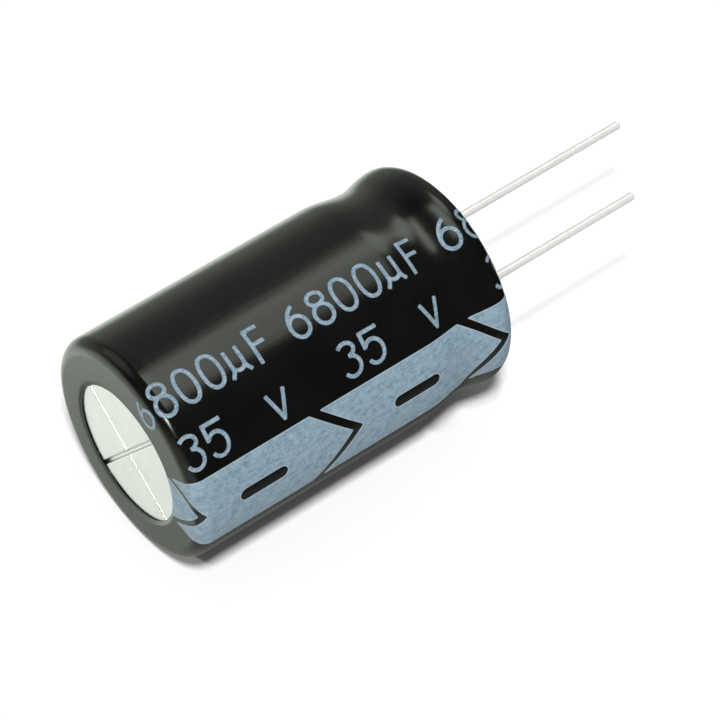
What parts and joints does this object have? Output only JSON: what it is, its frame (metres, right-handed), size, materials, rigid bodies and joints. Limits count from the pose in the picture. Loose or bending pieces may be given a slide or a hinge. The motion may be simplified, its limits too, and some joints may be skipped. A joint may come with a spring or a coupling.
{
  "type": "electrolytic capacitor",
  "caption": "Radial aluminium electrolytic capacitor: round can in a printed heat-shrink sleeve, scored vent on one end, crimped rubber seal and wire leads on the other.",
  "frame": {"origin": "centre of the seating plane, midway between the two leads, where the part stands on its board", "axes": "+Z from the board up to the vented end; +X on the side of the positive lead, so the polarity stripe lies near -X; the leads point along -Z"},
  "size_m": [0.0224, 0.0224, 0.0625],
  "materials": {
    "sleeve_film": "semi-gloss black heat-shrink film",
    "stripe_ink": "pale blue-grey printed ink",
    "can_metal": "satin drawn aluminium",
    "bung_rubber": "matte moulded rubber",
    "winding": "wound foil and soaked paper",
    "tape": "thin adhesive film",
    "tab_metal": "plain aluminium",
    "lead_metal": "tinned copper-clad steel wire"
  },
  "bodies": {
    "root": {"sleeve": "sleeve_film", "polarity_stripe": "stripe_ink", "can": "can_metal", "rubber_bung": "bung_rubber", "wound_element": "winding", "winding_tape": "tape", "anode_tab": "tab_metal", "cathode_tab": "tab_metal", "anode_lead": "lead_metal", "cathode_lead": "lead_metal"}
  },
  "joints": []
}
